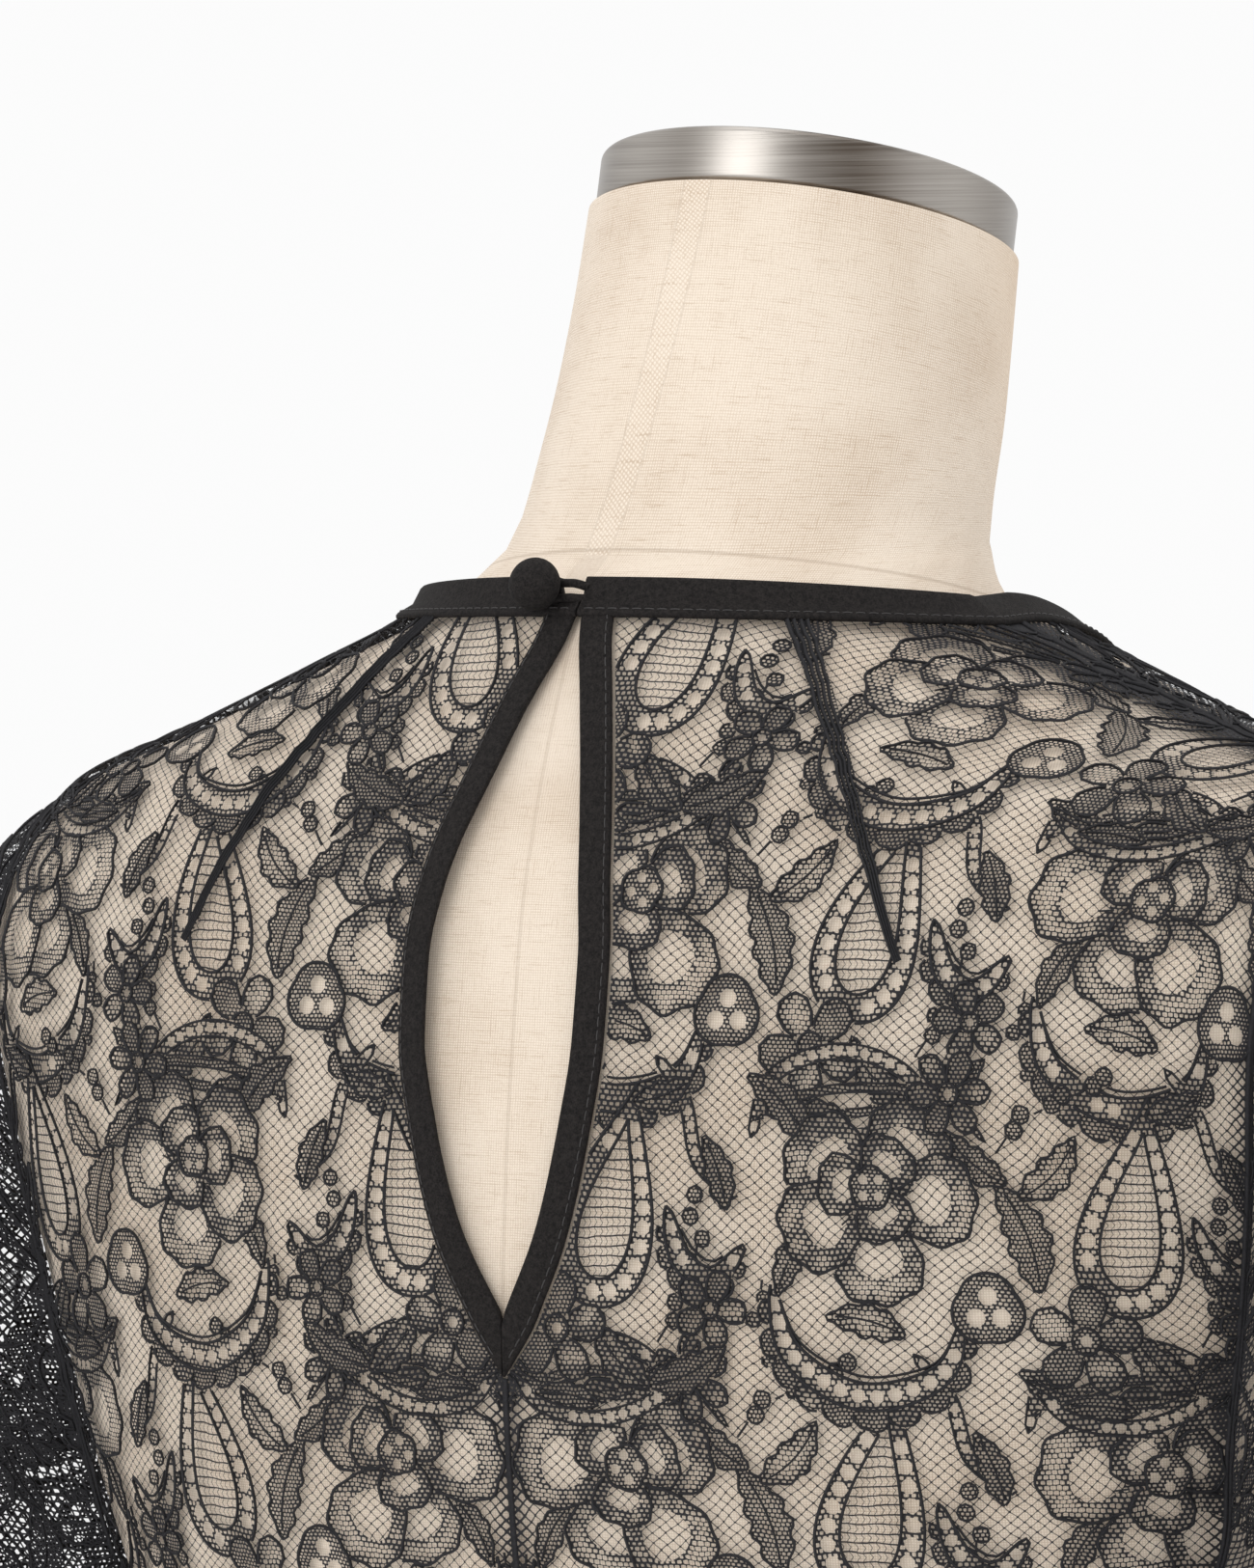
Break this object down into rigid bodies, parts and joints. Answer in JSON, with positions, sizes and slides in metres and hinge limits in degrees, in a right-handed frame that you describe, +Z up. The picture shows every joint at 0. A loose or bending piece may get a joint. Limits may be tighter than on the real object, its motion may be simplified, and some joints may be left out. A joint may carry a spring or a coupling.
{
  "type": "lace top on a dress form",
  "caption": "Fitted lace top with a keyhole back, crepe bindings and a ball button, on a limbless linen dress form.",
  "frame": {"origin": "centre of the dress form's flat base", "axes": "+Z up the form, -Y to the front of the top, -X to the wearer's right"},
  "size_m": [0.4356, 0.2443, 0.7325],
  "materials": {
    "lace": "floral net lace, dull yarn",
    "crepe": "dull crepe",
    "linen": "plain woven linen",
    "steel": "brushed round the edge"
  },
  "bodies": {
    "root": {"front": "lace", "back_right": "lace", "back_left": "lace", "sleeve_right_front": "lace", "sleeve_right_back": "lace", "sleeve_left_front": "lace", "sleeve_left_back": "lace", "neck_binding": "crepe", "keyhole_binding_right": "crepe", "keyhole_binding_left": "crepe", "button": "crepe", "button_loop": "crepe", "form": "linen", "neck_cap": "steel"}
  },
  "joints": []
}
